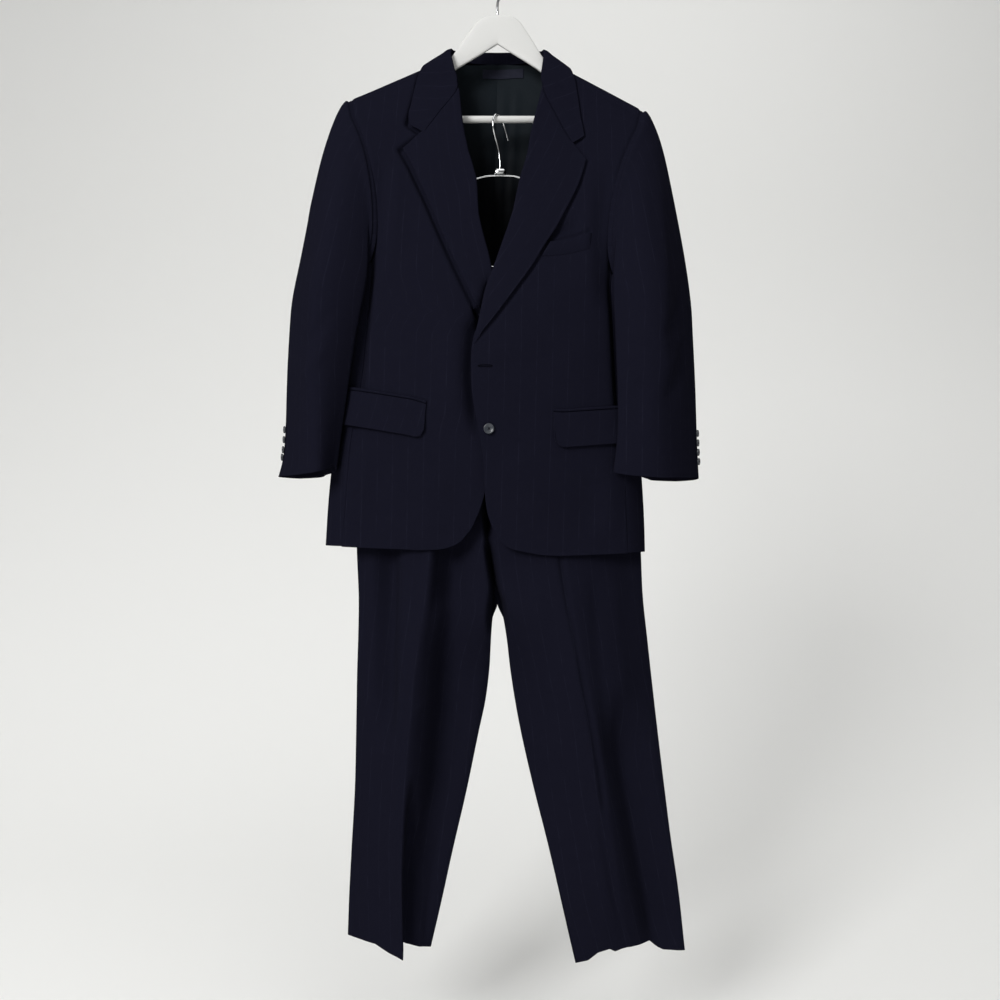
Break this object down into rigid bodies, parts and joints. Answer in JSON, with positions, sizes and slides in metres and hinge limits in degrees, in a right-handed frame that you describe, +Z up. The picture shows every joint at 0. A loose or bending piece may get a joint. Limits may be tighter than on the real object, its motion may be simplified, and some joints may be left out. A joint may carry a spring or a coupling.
{
  "type": "two-piece suit with its hangers",
  "caption": "Navy pinstripe suit, jacket over trousers, hanging open from a white wooden hanger with a clip hanger inside.",
  "frame": {"origin": "the inner top of the wooden hanger's hook, where it rests on a rail", "axes": "+X towards the wearer's left, +Y towards the back, +Z up; the jacket's front faces -Y"},
  "size_m": [0.6768, 0.1766, 1.5536],
  "materials": {
    "suit_cloth": "fine navy worsted with a faint pinstripe",
    "lining": "dark grey-green satin",
    "label": "woven, blank",
    "button": "semi-gloss",
    "painted_wood": "white paint, satin",
    "chrome": "polished"
  },
  "bodies": {
    "root": {"breast_welt": "suit_cloth", "button_lower": "button", "button_upper": "button", "clip_bracket": "chrome", "clip_frame": "chrome", "clip_hook": "chrome", "clip_left": "chrome", "clip_right": "chrome", "collar": "suit_cloth", "collar_stand": "suit_cloth", "hanger_bar": "painted_wood", "hanger_body": "painted_wood", "hanger_hook": "chrome", "jacket_back_left": "suit_cloth", "jacket_back_right": "suit_cloth", "jacket_front_left": "suit_cloth", "jacket_front_right": "suit_cloth", "lapel_left": "suit_cloth", "lapel_right": "suit_cloth", "lining_back_left": "lining", "lining_back_right": "lining", "neck_label": "label", "pocket_flap_left": "suit_cloth", "pocket_flap_right": "suit_cloth", "pocket_jet_left": "suit_cloth", "pocket_jet_right": "suit_cloth", "side_body_left": "suit_cloth", "side_body_right": "suit_cloth", "sleeve_button_left_1": "button", "sleeve_button_left_2": "button", "sleeve_button_left_3": "button", "sleeve_button_left_4": "button", "sleeve_button_right_1": "button", "sleeve_button_right_2": "button", "sleeve_button_right_3": "button", "sleeve_button_right_4": "button", "sleeve_top_left": "suit_cloth", "sleeve_top_right": "suit_cloth", "sleeve_under_left": "suit_cloth", "sleeve_under_right": "suit_cloth", "trouser_back_left": "suit_cloth", "trouser_back_right": "suit_cloth", "trouser_front_left": "suit_cloth", "trouser_front_right": "suit_cloth", "waistband": "suit_cloth"}
  },
  "joints": []
}
